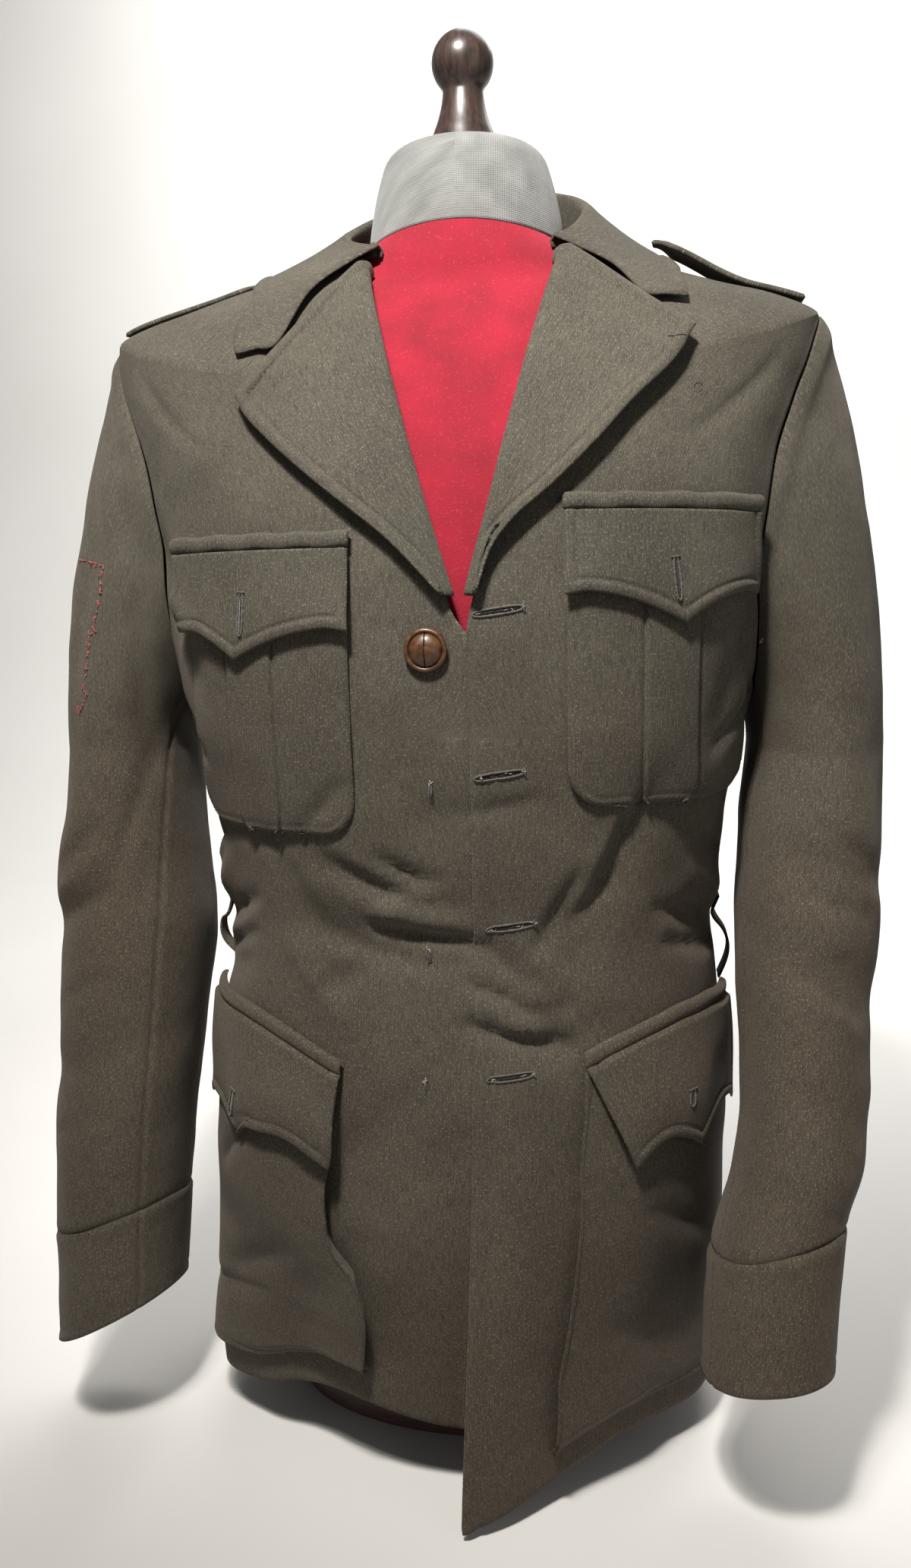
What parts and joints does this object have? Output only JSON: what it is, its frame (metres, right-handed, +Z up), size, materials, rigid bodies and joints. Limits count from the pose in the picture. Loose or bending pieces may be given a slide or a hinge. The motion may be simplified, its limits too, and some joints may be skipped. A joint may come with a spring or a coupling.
{
  "type": "uniform jacket on a limbless dress form",
  "caption": "Single-breasted belted uniform jacket with notched lapels and flapped patch pockets, worn by a limbless dress form that it stands on.",
  "frame": {"origin": "middle of the dress form's flat foot", "axes": "+Z up, -Y towards the jacket's front, +X towards the wearer's left"},
  "size_m": [0.5166, 0.2818, 0.8568],
  "materials": {
    "wool gabardine": "dark olive grey worsted gabardine, matt",
    "woven leather": "brown woven leather, worn and slightly shiny",
    "red felt": "red felt, matt",
    "grey jersey": "grey knitted jersey, matt",
    "dark turned wood": "dark stained and varnished"
  },
  "bodies": {
    "root": {"back": "wool gabardine", "front_right": "wool gabardine", "front_left": "wool gabardine", "sleeve_right": "wool gabardine", "sleeve_left": "wool gabardine", "cuff_right": "wool gabardine", "cuff_left": "wool gabardine", "collar": "wool gabardine", "lapel_right": "wool gabardine", "lapel_left": "wool gabardine", "shoulder_strap_right": "wool gabardine", "shoulder_strap_left": "wool gabardine", "chest_pocket_right": "wool gabardine", "chest_pocket_left": "wool gabardine", "chest_flap_right": "wool gabardine", "chest_flap_left": "wool gabardine", "chest_welt_right": "wool gabardine", "chest_welt_left": "wool gabardine", "lower_pocket_right": "wool gabardine", "lower_pocket_left": "wool gabardine", "lower_flap_right": "wool gabardine", "lower_flap_left": "wool gabardine", "lower_welt_right": "wool gabardine", "lower_welt_left": "wool gabardine", "belt_loop_right": "wool gabardine", "belt_loop_left": "wool gabardine", "button": "woven leather", "form_torso": "red felt", "form_neck": "grey jersey", "neck_knob": "dark turned wood"}
  },
  "joints": []
}
